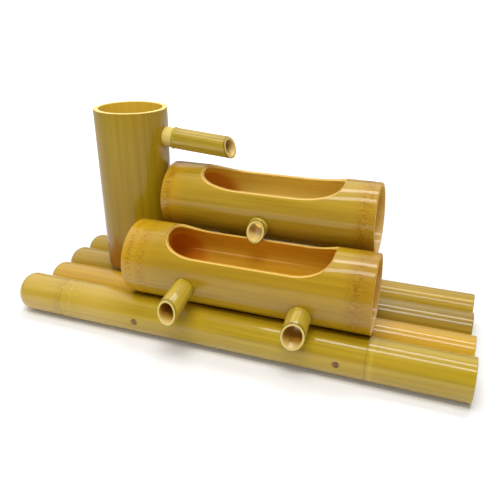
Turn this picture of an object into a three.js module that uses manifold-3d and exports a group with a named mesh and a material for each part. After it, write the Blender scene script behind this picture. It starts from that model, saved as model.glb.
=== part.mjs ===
// Bamboo cascade fountain: a raft of four poles carries a tall cup and two trough tubes.
// Water wells up in the cup and steps down through bamboo spouts from the cup to the rear
// trough, from there to the front trough, and out of its two spouts.
// Millimetres, +Z up. X runs along the raft and the front faces -Y. The origin is on the resting
// plane under the middle of the second pole.
import * as THREE from 'three';
import { mergeVertices } from 'three/addons/utils/BufferGeometryUtils.js';
import Module from 'manifold-3d';

// Raft of poles, from the front pole to the rear one
const raftLength = 505;
const poleDiameters = [43.6, 40.8, 43, 43];
const poleGap = 0.6;
const poleWall = 4.6;
const poleSeptum = 5;
const poleEndRound = 13;
const poleEdgeChamfer = 0.8;
const poleFootDepth = 0.6;
const poleNodeHeight = 0.25;
const poleNodeWidth = 5;
const poleLeftSetbacks = [0, 10, 7, 5];
const poleRightSetbacks = [0, 2.3, 6.3, 7];
const poleNodeShares = [[0.123, 0.147, 0.807], [0.665], [0.69], [0.64]];

// Dowels that run through all four poles
const dowelDiameter = 6.5;
const dowelChamfer = 0.5;
const dowelClearance = 0.3;
const dowelShares = [0.314, 0.752];

// Fit of one piece on or in the next
const seatClearance = 0.3;
const boreClearance = 0.3;
const overrun = 5;

// Front trough, lying in the groove between the two front poles
const frontTroughDiameter = 81.4;
const frontTroughLength = 262.5;
const frontTroughSetback = 143.8;
const frontTroughWall = 3.4;
const frontTroughEndTurn = THREE.MathUtils.degToRad(2.7);
const frontOpeningLength = 176.9;
const frontOpeningSetback = 43.8;
const frontOpeningDepth = 16.7;
const frontOpeningCorner = 38;
const frontOpeningRoll = THREE.MathUtils.degToRad(5.2);

// Rear trough, one step back and up
const rearTroughDiameter = 77.2;
const rearTroughLength = 239.5;
const rearTroughWall = 3.4;
const rearTroughEndTurn = THREE.MathUtils.degToRad(1.3);
const rearTroughEndLean = THREE.MathUtils.degToRad(1.9);
const rearOpeningLength = 161.4;
const rearOpeningSetback = 40.4;
const rearOpeningDepth = 13.3;
const rearOpeningCorner = 50;
const rearOpeningRoll = THREE.MathUtils.degToRad(7);
const troughStepGap = 9.2;
const troughStepAngle = THREE.MathUtils.degToRad(34.3);

// What both troughs share
const troughSeptum = 5;
const troughSeptumInset = 15;
const troughNodeHeight = 0.2;
const troughNodeWidth = 12;
const troughEdgeChamfer = 1.4;
const chamberFillet = 8;

// Posts that hold the rear trough up from the two rear poles
const postDiameter = 30;
const postWall = 4;
const postFootDepth = 9;
const postShares = [0.3, 0.78];

// Cup
const cupTopDiameter = 82.5;
const cupFootDiameter = 79.4;
const cupWall = 6;
const cupSeptum = 6;
const cupFootRecess = 9;
const cupRimChamfer = 1;
const cupFreeboard = 26.2;
const cupStandGap = 0.1;
const cupTroughGap = 1;
const cupTroughBearing = THREE.MathUtils.degToRad(30);
const rearTroughCupGap = 4.6;
const hoseHoleDiameter = 13;
const hoseHoleRise = 12;

// Spouts. The place is measured from the left end of the trough that carries the spout, and the
// reach from the carrier's axis to the middle of the mouth.
const spoutInset = 2;
const spoutNodeHeight = 0.7;
const spoutNodeWidth = 3;
const cupSpout = {
  diameter: 23.4, wall: 3.1, reach: 116.3, tilt: 6.5, bearing: 97.5, slant: 24, lean: 36,
  collar: 9, collarStep: 0.6, clearance: 10,
};
const rearSpout = {
  diameter: 20.2, wall: 2.7, reach: 51, tilt: 15, bearing: 0, slant: 36, lean: 0,
  place: 118.2,
};
const frontLeftSpout = {
  diameter: 22.6, wall: 2.8, reach: 80.2, tilt: 12.6, bearing: 0, slant: 30, lean: 19,
  place: 73.4,
};
const frontRightSpout = {
  diameter: 24, wall: 2.6, reach: 65.8, tilt: 25.9, bearing: 0, slant: 34, lean: -11,
  place: 195.9,
};

// Counts of flats round each kind of piece
const poleSides = 28;
const troughSides = 42;
const cupSides = 56;
const spoutSides = 24;
const dowelSides = 16;
const postSides = 28;
const cornerSteps = 5;
const endSteps = 4;
const filletSteps = 3;

const kernel = await Module();
kernel.setup();
const weldShare = 1e-6;

// Solids

// A closed three.js geometry as a solid that can be cut
function solidFrom(geometry) {
  const bare = geometry.clone();
  bare.deleteAttribute('normal');
  bare.deleteAttribute('uv');
  const welded = mergeVertices(bare, raftLength * weldShare);
  const corners = welded.index.array;
  const faces = [];
  for (let i = 0; i < corners.length; i += 3) {
    const [a, b, c] = [corners[i], corners[i + 1], corners[i + 2]];
    if (a !== b && b !== c && c !== a) faces.push(a, b, c);
  }
  return new kernel.Manifold(new kernel.Mesh({
    numProp: 3,
    vertProperties: Float32Array.from(welded.attributes.position.array),
    triVerts: Uint32Array.from(faces),
  }));
}

function geometryFrom(solid) {
  const { vertProperties, triVerts } = solid.getMesh();
  const geometry = new THREE.BufferGeometry();
  geometry.setAttribute('position', new THREE.BufferAttribute(new Float32Array(vertProperties), 3));
  geometry.setIndex(new THREE.BufferAttribute(new Uint32Array(triVerts), 1));
  geometry.computeVertexNormals();
  return geometry;
}

// Spins an outline of [along, radius] points about the Z axis, +Z being along
function spunUp(outline, sides) {
  const points = outline.map(([along, radius]) => new THREE.Vector2(radius, along));
  const geometry = new THREE.LatheGeometry(points, sides);
  geometry.rotateX(Math.PI / 2);
  return geometry;
}

// The same with the outline running along +X
function spunAlong(outline, sides) {
  return spunUp(outline, sides).rotateY(Math.PI / 2);
}

// A plain round bar along X
function barOutline(from, to, radius) {
  return [[from, 0], [from, radius], [to, radius], [to, 0]];
}

// A quarter round from angle to angle, about a centre, as [along, radius] points
function arc(along, radius, size, startTurn, endTurn, steps) {
  return Array.from({ length: steps + 1 }, (_, i) => {
    const angle = 2 * Math.PI * THREE.MathUtils.lerp(startTurn, endTurn, i / steps);
    return [along + size * Math.cos(angle), radius + size * Math.sin(angle)];
  });
}

// A low rounded ring standing proud of a tube
function ridge(middle, width, radius, height) {
  return [
    [middle - width / 2, radius],
    [middle - width / 6, radius + height],
    [middle + width / 6, radius + height],
    [middle + width / 2, radius],
  ];
}

// A hollow with filleted corners, between two septa
function chamberOutline(from, to, radius, fillet) {
  return [
    [from, 0],
    ...arc(from + fillet, radius - fillet, fillet, 0.5, 0.25, filletSteps),
    ...arc(to - fillet, radius - fillet, fillet, 0.25, 0, filletSteps),
    [to, 0],
  ];
}

function mesh(name, geometry, color, roughness) {
  const piece = new THREE.Mesh(geometry, new THREE.MeshStandardMaterial({ color, roughness, metalness: 0 }));
  piece.name = name;
  return piece;
}

// Where a round of the given radius settles in the groove between two others, in the YZ plane
function seatBetween(front, rear, radius) {
  const toFront = radius + front.radius + seatClearance;
  const toRear = radius + rear.radius + seatClearance;
  const across = rear.y - front.y;
  const rise = rear.z - front.z;
  const apart = Math.hypot(across, rise);
  const along = (toFront ** 2 - toRear ** 2 + apart ** 2) / (2 * apart);
  const up = Math.sqrt(toFront ** 2 - along ** 2);
  return {
    y: front.y + (across * along - rise * up) / apart,
    z: front.z + (rise * along + across * up) / apart,
  };
}

// Places

const poles = poleDiameters.map((diameter, i) => ({
  radius: diameter / 2,
  z: diameter / 2 - poleFootDepth,
  left: poleLeftSetbacks[i] - raftLength / 2,
  right: raftLength / 2 - poleRightSetbacks[i],
}));
poles.forEach((pole, i) => {
  const last = poles[i - 1];
  pole.y = last ? last.y + Math.sqrt((last.radius + pole.radius + poleGap) ** 2 - (pole.z - last.z) ** 2) : 0;
});
const [frontPole, secondPole, thirdPole, rearPole] = poles;
const originAcross = secondPole.y;
poles.forEach((pole) => { pole.y -= originAcross; });
const dowelHeight = frontPole.z;

const frontTrough = {
  radius: frontTroughDiameter / 2,
  wall: frontTroughWall,
  left: frontTroughSetback - raftLength / 2,
  length: frontTroughLength,
  endTurn: frontTroughEndTurn,
  endLean: 0,
  ...seatBetween(frontPole, secondPole, frontTroughDiameter / 2),
};
const troughStep = (frontTroughDiameter + rearTroughDiameter) / 2 + troughStepGap;
const rearTroughSeat = {
  y: frontTrough.y + troughStep * Math.cos(troughStepAngle),
  z: frontTrough.z + troughStep * Math.sin(troughStepAngle),
};
const cupReach = cupTopDiameter / 2 + cupTroughGap;
const cupPlace = {
  x: frontTrough.left - cupReach * Math.cos(cupTroughBearing),
  y: frontTrough.y + frontTrough.radius + cupReach * Math.sin(cupTroughBearing),
  z: Math.max(thirdPole.z + thirdPole.radius, rearPole.z + rearPole.radius) + cupStandGap,
};
const rearTrough = {
  radius: rearTroughDiameter / 2,
  wall: rearTroughWall,
  left: cupPlace.x + cupTopDiameter / 2 + rearTroughCupGap,
  length: rearTroughLength,
  endTurn: rearTroughEndTurn,
  endLean: rearTroughEndLean,
  ...rearTroughSeat,
};

// Spouts

// The spout's own frame: its axis leaves the carrier's axis at the origin and runs out along +Z
function spoutFrame(spout, origin) {
  const tilt = THREE.MathUtils.degToRad(spout.tilt);
  const bearing = THREE.MathUtils.degToRad(spout.bearing);
  const axis = new THREE.Vector3(
    Math.sin(bearing) * Math.cos(tilt),
    -Math.cos(bearing) * Math.cos(tilt),
    -Math.sin(tilt),
  );
  const side = new THREE.Vector3().crossVectors(new THREE.Vector3(0, 0, 1), axis).normalize();
  const rise = new THREE.Vector3().crossVectors(axis, side);
  return new THREE.Matrix4().makeBasis(side, rise, axis).setPosition(origin);
}

// The hole that takes the spout, from the carrier's axis out past its wall
function spoutHole(spout, origin, carrierRadius) {
  const radius = (spout.diameter - 2 * (spout.collarStep ?? 0)) / 2 + boreClearance;
  const hole = spunUp(barOutline(0, carrierRadius + overrun, radius), spoutSides);
  return solidFrom(hole.applyMatrix4(spoutFrame(spout, origin)));
}

// The bamboo tube: its root just inside the carrier's bore, its mouth cut on a slant so that the
// lower lip reaches further, and on a collared spout a peeled root and a node ring past it
function spoutGeometry(spout, carrierRadius, carrierWall) {
  const radius = spout.diameter / 2;
  const root = carrierRadius - carrierWall - spoutInset;
  const end = spout.reach + radius * Math.tan(THREE.MathUtils.degToRad(spout.slant)) + overrun;
  const shoulder = carrierRadius + (spout.collar ?? 0);
  const outside = spout.collar
    ? [
      [root, radius - spout.collarStep],
      [shoulder, radius - spout.collarStep],
      ...ridge(shoulder + spoutNodeWidth / 2, spoutNodeWidth, radius, spoutNodeHeight),
    ]
    : [[root, radius]];
  const bore = radius - spout.wall;
  const tube = solidFrom(spunUp([
    [root, bore], ...outside, [end, radius], [end, bore], [root, bore],
  ], spoutSides));
  const blockSize = 2 * (spout.diameter + end - spout.reach);
  const cut = new THREE.BoxGeometry(blockSize, blockSize, blockSize);
  cut.translate(0, 0, blockSize / 2);
  cut.rotateX(-THREE.MathUtils.degToRad(spout.slant));
  cut.rotateZ(THREE.MathUtils.degToRad(spout.lean));
  cut.translate(0, 0, spout.reach);
  return geometryFrom(tube.subtract(solidFrom(cut)));
}

function spoutMesh(name, spout, origin, carrierRadius, carrierWall, color) {
  const piece = mesh(name, spoutGeometry(spout, carrierRadius, carrierWall), color, 0.35);
  piece.applyMatrix4(spoutFrame(spout, origin));
  return piece;
}

function troughSpoutOrigin(spout, trough) {
  return new THREE.Vector3(trough.left + spout.place, trough.y, trough.z);
}

// Raft

// One pole: a rounded closed end on the left, solid up to its last close node, a square-cut open
// end on the right, walls and septa as in the cane, holes for the dowels, and a narrow flat along
// the underside to stand on
function poleGeometry(pole, index) {
  const { radius, left, right } = pole;
  const length = right - left;
  const nodes = poleNodeShares[index].map((share) => left + share * length);
  const outline = [
    [left, 0],
    ...arc(left + poleEndRound, radius - poleEndRound, poleEndRound, 0.5, 0.25, endSteps),
    ...nodes.flatMap((node) => ridge(node, poleNodeWidth, radius, poleNodeHeight)),
    [right - poleEdgeChamfer, radius],
    [right, radius - poleEdgeChamfer],
    [right, 0],
  ];
  let solid = solidFrom(spunAlong(outline, poleSides));

  const bore = radius - poleWall;
  const lastNode = nodes[nodes.length - 1];
  const closedTo = nodes.length > 1 ? nodes[nodes.length - 2] : left + poleEndRound;
  const inner = chamberOutline(closedTo + poleSeptum / 2, lastNode - poleSeptum / 2, bore, poleWall);
  const outer = barOutline(lastNode + poleSeptum / 2, right + overrun, bore);
  for (const hollow of [inner, outer]) {
    solid = solid.subtract(solidFrom(spunAlong(hollow, poleSides)));
  }
  for (const place of dowelPlaces) {
    const hole = spunUp(barOutline(-pole.radius - overrun, pole.radius + overrun,
      dowelDiameter / 2 + dowelClearance), dowelSides);
    hole.rotateX(Math.PI / 2);
    hole.translate(place, 0, dowelHeight - pole.z);
    solid = solid.subtract(solidFrom(hole));
  }
  const foot = new THREE.BoxGeometry(length + 2 * overrun, pole.radius * 2, overrun);
  foot.translate((left + right) / 2, 0, -pole.z - overrun / 2);
  return geometryFrom(solid.subtract(solidFrom(foot)));
}

function dowelMesh(name, place) {
  const radius = dowelDiameter / 2;
  const from = frontPole.y - frontPole.radius + dowelClearance;
  const to = rearPole.y + rearPole.radius - dowelClearance;
  const outline = [
    [from, 0], [from, radius - dowelChamfer], [from + dowelChamfer, radius],
    [to - dowelChamfer, radius], [to, radius - dowelChamfer], [to, 0],
  ];
  const geometry = spunUp(outline, dowelSides).rotateX(-Math.PI / 2);
  const piece = mesh(name, geometryFrom(solidFrom(geometry)), 0x8a5a2b, 0.6);
  piece.position.set(place, 0, dowelHeight);
  return piece;
}

// Troughs

// A culm tube between two septa set in from its ends, with a long opening in its top: the floor
// of the cut is flat, its ends rise to the crest in quarter ellipses, and the whole cut is rolled
// towards the front
function openingCutter(trough, opening) {
  const { radius } = trough;
  const from = opening.setback;
  const to = opening.setback + opening.length;
  const level = radius - opening.depth;
  const profile = new THREE.Shape();
  profile.moveTo(from, radius + overrun);
  profile.lineTo(from, radius);
  profile.absellipse(from + opening.corner, radius, opening.corner, opening.depth,
    Math.PI, 1.5 * Math.PI);
  profile.lineTo(to - opening.corner, level);
  profile.absellipse(to - opening.corner, radius, opening.corner, opening.depth,
    1.5 * Math.PI, 2 * Math.PI);
  profile.lineTo(to, radius + overrun);
  const depth = 2 * (radius + overrun);
  const block = new THREE.ExtrudeGeometry(profile, {
    depth, bevelEnabled: false, curveSegments: cornerSteps,
  });
  block.translate(0, 0, -depth / 2);
  block.rotateX(Math.PI / 2 + opening.roll);
  return solidFrom(block);
}

// The right end is sawn a little off square, so that its front and its foot reach further
function skewEnd(geometry, trough) {
  const { position } = geometry.attributes;
  const acrossSlope = Math.tan(trough.endTurn);
  const upSlope = Math.tan(trough.endLean);
  for (let i = 0; i < position.count; i += 1) {
    const x = position.getX(i);
    if (x > trough.length - 2 * troughEdgeChamfer) {
      position.setX(i, x - acrossSlope * position.getY(i) - upSlope * position.getZ(i));
    }
  }
  return geometry;
}

function troughGeometry(trough, opening, spouts) {
  const { radius, wall, length } = trough;
  const bore = radius - wall;
  const nodes = [troughSeptumInset, length - troughSeptumInset];
  const outline = [
    [0, 0], [0, radius - troughEdgeChamfer], [troughEdgeChamfer, radius],
    ...nodes.flatMap((node) => ridge(node, troughNodeWidth, radius, troughNodeHeight)),
    [length - troughEdgeChamfer, radius], [length, radius - troughEdgeChamfer], [length, 0],
  ];
  const hollows = [
    barOutline(-overrun, nodes[0] - troughSeptum / 2, bore),
    barOutline(nodes[1] + troughSeptum / 2, length + overrun, bore),
    chamberOutline(nodes[0] + troughSeptum / 2, nodes[1] - troughSeptum / 2, bore, chamberFillet),
  ];
  let solid = solidFrom(skewEnd(spunAlong(outline, troughSides), trough));
  for (const hollow of hollows) {
    solid = solid.subtract(solidFrom(spunAlong(hollow, troughSides)));
  }
  solid = solid.subtract(openingCutter(trough, opening));
  for (const spout of spouts) {
    solid = solid.subtract(spoutHole(spout, new THREE.Vector3(spout.place, 0, 0), radius));
  }
  return geometryFrom(solid);
}

function troughMesh(name, trough, opening, spouts, color) {
  const piece = mesh(name, troughGeometry(trough, opening, spouts), color, 0.35);
  piece.position.set(trough.left, trough.y, trough.z);
  return piece;
}

// A post under the rear trough, saddle-cut to the poles below and to the trough above
function postMesh(name, share) {
  const x = rearTrough.left + share * rearTrough.length;
  const foot = Math.min(thirdPole.z + thirdPole.radius, rearPole.z + rearPole.radius) - postFootDepth;
  const radius = postDiameter / 2;
  let solid = solidFrom(spunUp([
    [foot, radius - postWall], [foot, radius], [rearTrough.z, radius],
    [rearTrough.z, radius - postWall], [foot, radius - postWall],
  ], postSides));
  for (const round of [thirdPole, rearPole, rearTrough]) {
    const half = radius + overrun;
    const saddle = spunAlong(barOutline(-half, half, round.radius + seatClearance), troughSides);
    saddle.translate(0, round.y - rearTrough.y, round.z);
    solid = solid.subtract(solidFrom(saddle));
  }
  const piece = mesh(name, geometryFrom(solid), 0x9a8a34, 0.4);
  piece.position.set(x, rearTrough.y, 0);
  return piece;
}

// Cup

const cupSpoutDrop = Math.sin(THREE.MathUtils.degToRad(cupSpout.tilt)) * cupSpout.reach;
const cupSpoutMouth = rearTrough.z + rearTrough.radius + cupSpout.clearance + cupSpout.diameter / 2;
const cupSpoutRise = cupSpoutMouth + cupSpoutDrop - cupPlace.z;
const cupHeight = cupSpoutRise + cupFreeboard;
const cupSpoutBearing = THREE.MathUtils.degToRad(cupSpout.bearing);

// A tapered culm length, closed near its foot by a septum, with a spout hole near the rim and a
// hose hole low in the back
function cupGeometry() {
  const topRadius = cupTopDiameter / 2;
  const footRadius = cupFootDiameter / 2;
  const radiusAt = (height) => THREE.MathUtils.lerp(footRadius, topRadius, height / cupHeight);
  const floor = cupFootRecess + cupSeptum;
  const fillet = cupWall / 2;
  const outline = [
    [0, 0], [0, footRadius - cupRimChamfer], [cupRimChamfer, radiusAt(cupRimChamfer)],
    [cupHeight - cupRimChamfer, radiusAt(cupHeight - cupRimChamfer)],
    [cupHeight, topRadius - cupRimChamfer], [cupHeight, 0],
  ];
  const hollow = [
    [floor, 0],
    [floor, radiusAt(floor) - cupWall - fillet],
    [floor + fillet, radiusAt(floor + fillet) - cupWall],
    [cupHeight + overrun, radiusAt(cupHeight + overrun) - cupWall],
    [cupHeight + overrun, 0],
  ];
  const recess = barOutline(-overrun, cupFootRecess, footRadius - cupWall);
  const hoseHole = spunUp(barOutline(0, topRadius + overrun, hoseHoleDiameter / 2), spoutSides);
  hoseHole.rotateX(-Math.PI / 2);
  hoseHole.translate(0, 0, floor + hoseHoleRise);
  const spoutOrigin = new THREE.Vector3(0, 0, cupSpoutRise);
  return geometryFrom(
    solidFrom(spunUp(outline, cupSides))
      .subtract(solidFrom(spunUp(hollow, cupSides)))
      .subtract(solidFrom(spunUp(recess, cupSides)))
      .subtract(solidFrom(hoseHole))
      .subtract(spoutHole(cupSpout, spoutOrigin, topRadius)),
  );
}

// The cup's radius where the spout leaves it
function cupRadiusAtSpout() {
  return THREE.MathUtils.lerp(cupFootDiameter, cupTopDiameter, cupSpoutRise / cupHeight) / 2;
}

// Assembly

const dowelPlaces = dowelShares.map((share) => (share - 0.5) * raftLength);
const frontOpening = {
  setback: frontOpeningSetback, length: frontOpeningLength,
  depth: frontOpeningDepth, corner: frontOpeningCorner, roll: frontOpeningRoll,
};
const rearOpening = {
  setback: rearOpeningSetback, length: rearOpeningLength,
  depth: rearOpeningDepth, corner: rearOpeningCorner, roll: rearOpeningRoll,
};
const poleColors = [0xbda72e, 0xd9b04a, 0x9a9238, 0xb5a545];

const fountain = new THREE.Group();
poles.forEach((pole, i) => {
  const piece = mesh(`raft_pole_${i + 1}`, poleGeometry(pole, i), poleColors[i], 0.35);
  piece.position.set(0, pole.y, pole.z);
  fountain.add(piece);
});
['left', 'right'].forEach((side, i) => {
  fountain.add(dowelMesh(`raft_dowel_${side}`, dowelPlaces[i]));
  fountain.add(postMesh(`trough_post_${side}`, postShares[i]));
});
fountain.add(troughMesh('front_trough', frontTrough, frontOpening, [frontLeftSpout, frontRightSpout], 0xb08c22));
fountain.add(troughMesh('rear_trough', rearTrough, rearOpening, [rearSpout], 0xad8a24));

const cup = mesh('cup', cupGeometry(), 0xa8852a, 0.35);
cup.position.set(cupPlace.x, cupPlace.y, cupPlace.z);
fountain.add(cup);

const cupSpoutOrigin = new THREE.Vector3(cupPlace.x, cupPlace.y, cupPlace.z + cupSpoutRise);
fountain.add(spoutMesh('cup_spout', cupSpout, cupSpoutOrigin, cupRadiusAtSpout(), cupWall, 0xc2ac48));
for (const [name, spout, trough] of [
  ['rear_spout', rearSpout, rearTrough],
  ['front_spout_left', frontLeftSpout, frontTrough],
  ['front_spout_right', frontRightSpout, frontTrough],
]) {
  fountain.add(spoutMesh(name, spout, troughSpoutOrigin(spout, trough), trough.radius, trough.wall, 0xd0bb5c));
}

export default fountain;
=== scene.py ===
import bpy
import math
from mathutils import Euler, Matrix, Vector


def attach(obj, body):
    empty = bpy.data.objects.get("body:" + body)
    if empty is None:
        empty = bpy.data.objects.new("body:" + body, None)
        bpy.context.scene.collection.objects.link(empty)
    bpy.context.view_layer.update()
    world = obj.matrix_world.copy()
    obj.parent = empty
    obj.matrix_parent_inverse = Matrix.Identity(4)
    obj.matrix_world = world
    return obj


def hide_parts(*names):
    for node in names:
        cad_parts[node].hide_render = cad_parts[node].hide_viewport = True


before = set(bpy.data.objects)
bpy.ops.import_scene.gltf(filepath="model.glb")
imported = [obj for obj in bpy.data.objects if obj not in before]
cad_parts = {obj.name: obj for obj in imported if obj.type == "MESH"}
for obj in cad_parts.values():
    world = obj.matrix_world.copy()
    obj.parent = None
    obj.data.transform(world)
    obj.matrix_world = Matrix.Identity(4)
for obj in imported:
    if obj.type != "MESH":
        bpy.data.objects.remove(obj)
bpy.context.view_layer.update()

mm = 0.001
bpy.ops.object.select_all(action="DESELECT")


# Handling of pieces: lengths in mm, turns in degrees

meshWork = {"seamMerge": 0.002, "cutMerge": 0.02, "planeTouch": 0.001}
layAlongX = (0, 90, 0)
upright = (0, 0, 0)


def eulerOf(turn):
    return Euler([math.radians(a) for a in turn])


def pickOnly(piece):
    bpy.ops.object.select_all(action="DESELECT")
    piece.select_set(True)
    bpy.context.view_layer.objects.active = piece


def editWhole(piece):
    pickOnly(piece)
    bpy.ops.object.mode_set(mode="EDIT")
    bpy.ops.mesh.select_all(action="SELECT")


def turnCane(name, rings, sides, hollow=False):
    # rings are (along, radius) from one end; a hollow cane comes back to its first ring
    bpy.ops.object.select_all(action="DESELECT")
    along, radius = rings[0]
    bpy.ops.mesh.primitive_circle_add(vertices=sides, radius=radius * mm, location=(0, 0, along * mm))
    piece = bpy.context.object
    piece.name = name
    bpy.ops.object.transform_apply(location=True)
    bpy.ops.object.mode_set(mode="EDIT")
    for nextAlong, nextRadius in rings[1:]:
        growth = nextRadius / radius
        bpy.ops.mesh.extrude_region_move(TRANSFORM_OT_translate={"value": (0, 0, (nextAlong - along) * mm)})
        bpy.ops.transform.resize(value=(growth, growth, 1), center_override=(0, 0, nextAlong * mm))
        along, radius = nextAlong, nextRadius
    bpy.ops.mesh.select_all(action="SELECT")
    if hollow:
        bpy.ops.mesh.remove_doubles(threshold=meshWork["seamMerge"] * mm)
    else:
        bpy.ops.mesh.fill_holes(sides=0)
        bpy.ops.mesh.select_all(action="SELECT")
    bpy.ops.mesh.normals_make_consistent(inside=False)
    bpy.ops.object.mode_set(mode="OBJECT")
    return piece


def putAt(piece, turn, place):
    # both go into the mesh
    pickOnly(piece)
    piece.rotation_euler = eulerOf(turn)
    piece.location = Vector(place) * mm
    bpy.ops.object.transform_apply(location=True, rotation=True, scale=True)
    return piece


def cutAway(piece, cutter):
    pickOnly(piece)
    modifier = piece.modifiers.new("cut", "BOOLEAN")
    modifier.operation = "DIFFERENCE"
    modifier.solver = "EXACT"
    modifier.object = cutter
    bpy.ops.object.modifier_apply(modifier=modifier.name)
    bpy.data.objects.remove(cutter)
    return piece


def easeEdges(piece, width, angle, segments=2):
    editWhole(piece)
    bpy.ops.mesh.remove_doubles(threshold=meshWork["cutMerge"] * mm)
    bpy.ops.object.mode_set(mode="OBJECT")
    modifier = piece.modifiers.new("eased", "BEVEL")
    modifier.width = width * mm
    modifier.segments = segments
    modifier.limit_method = "ANGLE"
    modifier.angle_limit = math.radians(angle)
    modifier.use_clamp_overlap = True
    modifier.harden_normals = False
    bpy.ops.object.modifier_apply(modifier=modifier.name)
    return piece


def smoothSkin(piece, angle=32):
    pickOnly(piece)
    bpy.ops.object.shade_smooth_by_angle(angle=math.radians(angle))
    return piece


def finishPiece(piece, node, body, material):
    piece.data.materials.clear()
    piece.data.materials.append(material)
    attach(piece, body)
    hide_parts(node)
    return piece


# Outlines that are turned about a cane's axis, as (along, radius) points. A closed one starts and ends
# on a small circle round the axis, since a ring can't shrink to nothing

axisCircle = 0.8
recessCorner = [(0, -1.2), (-0.4, -0.35), (-1.2, 0)]

# which way a rounded corner's centre lies from it, along and outwards, and the turns it starts and
# ends at, 0 towards the far end
corners = {"nearOuter": (1, -1, 180, 90), "farOuter": (-1, -1, 90, 0), "farInner": (-1, 1, 360, 270),
           "nearInner": (1, 1, 270, 180), "floor": (1, -1, 90, 180)}


def roundCorner(kind, along, radius, size, steps):
    alongSide, outwards, startTurn, endTurn = corners[kind]
    points = []
    for step in range(steps + 1):
        turn = math.radians(startTurn + (endTurn - startTurn) * step / steps)
        points.append((along + alongSide * size + size * math.cos(turn),
                       radius + outwards * size + size * math.sin(turn)))
    return points


def shapeAt(shape, along, radius, width=1, height=1):
    # a shape's points are shares of its width and height
    return [(along + across * width, radius + rise * height) for across, rise in shape]


def recessedEnd(floor, bore):
    return [(floor, axisCircle)] + shapeAt(recessCorner, floor, bore)


# Colour and grain of bamboo

def tone(red, green, blue):
    # a colour as read off a screen, 0 to 255, as the renderer wants it
    levels = [level / 255 for level in (red, green, blue)]
    return tuple(v / 12.92 if v <= 0.04045 else ((v + 0.055) / 1.055) ** 2.4 for v in levels) + (1.0,)


def newGroup(name, inputs, outputs):
    # an input is a number with its usual value, or a vector where there is none; outputs are numbers
    group = bpy.data.node_groups.new(name, "ShaderNodeTree")
    for label, value in inputs.items():
        kind = "NodeSocketVector" if value is None else "NodeSocketFloat"
        socket = group.interface.new_socket(name=label, in_out="INPUT", socket_type=kind)
        if value is not None:
            socket.default_value = value
    for label in outputs:
        group.interface.new_socket(name=label, in_out="OUTPUT", socket_type="NodeSocketFloat")
    return group, group.nodes.new("NodeGroupInput"), group.nodes.new("NodeGroupOutput")


def feed(tree, socket, value):
    if isinstance(value, bpy.types.NodeSocket):
        tree.links.new(value, socket)
    else:
        socket.default_value = value


def useGroup(tree, group, **values):
    node = tree.nodes.new("ShaderNodeGroup")
    node.node_tree = group
    for label, value in values.items():
        feed(tree, node.inputs[label.replace("_", " ")], value)
    return node.outputs


def sums(tree, operation, first, second=0.0, third=None, clamp=False):
    node = tree.nodes.new("ShaderNodeMath")
    node.operation = operation
    node.use_clamp = clamp
    feed(tree, node.inputs[0], first)
    feed(tree, node.inputs[1], second)
    if third is not None:
        feed(tree, node.inputs[2], third)
    return node.outputs[0]


def times(tree, first, second):
    return sums(tree, "MULTIPLY", first, second)


def less(tree, first, second):
    return sums(tree, "SUBTRACT", first, second)


def lengthOf(tree, first, second):
    return sums(tree, "SQRT", sums(tree, "ADD", times(tree, first, first), times(tree, second, second)))


def partsOf(tree, place):
    split = tree.nodes.new("ShaderNodeSeparateXYZ")
    tree.links.new(place, split.inputs[0])
    return split.outputs["X"], split.outputs["Y"], split.outputs["Z"]


def spread(tree, value, fromLow, fromHigh, toLow=0.0, toHigh=1.0):
    node = tree.nodes.new("ShaderNodeMapRange")
    node.interpolation_type = "SMOOTHSTEP"
    for label, given in (("Value", value), ("From Min", fromLow), ("From Max", fromHigh),
                         ("To Min", toLow), ("To Max", toHigh)):
        feed(tree, node.inputs[label], given)
    return node.outputs["Result"]


mixSockets = {"under": 6, "over": 7, "mixed": 2}  # a Mix node's own sockets for colours


def blendColour(tree, share, under, over):
    node = tree.nodes.new("ShaderNodeMix")
    node.data_type = "RGBA"
    feed(tree, node.inputs["Factor"], share)
    feed(tree, node.inputs[mixSockets["under"]], under)
    feed(tree, node.inputs[mixSockets["over"]], over)
    return node.outputs[mixSockets["mixed"]]


def tint(tree, colour, mask, strength, shade):
    return blendColour(tree, times(tree, mask, strength), colour, shade)


# how far from the skin or the bore, in mm, its own look is gone, and full
zoneFade = (0.75, 0.25)


def makeCaneZones():
    # from a place in the cane's own frame: how far along, whether skin or bore, and how deep in the wall
    group, given, out = newGroup(
        "cane zones", {"Place": None, "Skin Radius": 0.02, "Bore Radius": 0.015, "Taper": 0.0},
        ["Along", "Skin", "Bore", "Wall"])
    x, y, z = partsOf(group, given.outputs["Place"])
    gone, full = zoneFade
    straight = less(group, lengthOf(group, x, y), times(group, given.outputs["Taper"], z))
    depth = less(group, given.outputs["Skin Radius"], straight)
    above = less(group, straight, given.outputs["Bore Radius"])
    group.links.new(z, out.inputs["Along"])
    group.links.new(spread(group, depth, gone * mm, full * mm), out.inputs["Skin"])
    group.links.new(spread(group, above, gone * mm, full * mm), out.inputs["Bore"])
    group.links.new(depth, out.inputs["Wall"])
    return group


# noise drawn out along the cane: its scales, how fine and warped it is, and where it is dark and light
grainLayers = {
    "Fibres": {"across": 1500, "along": 22, "detail": 4, "roughness": 0.55, "distortion": 0,
               "low": 0.3, "high": 0.7},
    "Bands": {"across": 260, "along": 5, "detail": 3, "roughness": 0.55, "distortion": 0,
              "low": 0.3, "high": 0.7},
    "Clouds": {"across": 45, "along": 16, "detail": 2, "roughness": 0.55, "distortion": 0,
               "low": 0.32, "high": 0.68},
    "Specks": {"across": 820, "along": 260, "detail": 3, "roughness": 0.6, "distortion": 0.2,
               "low": 0.4, "high": 0.64},
}


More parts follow.
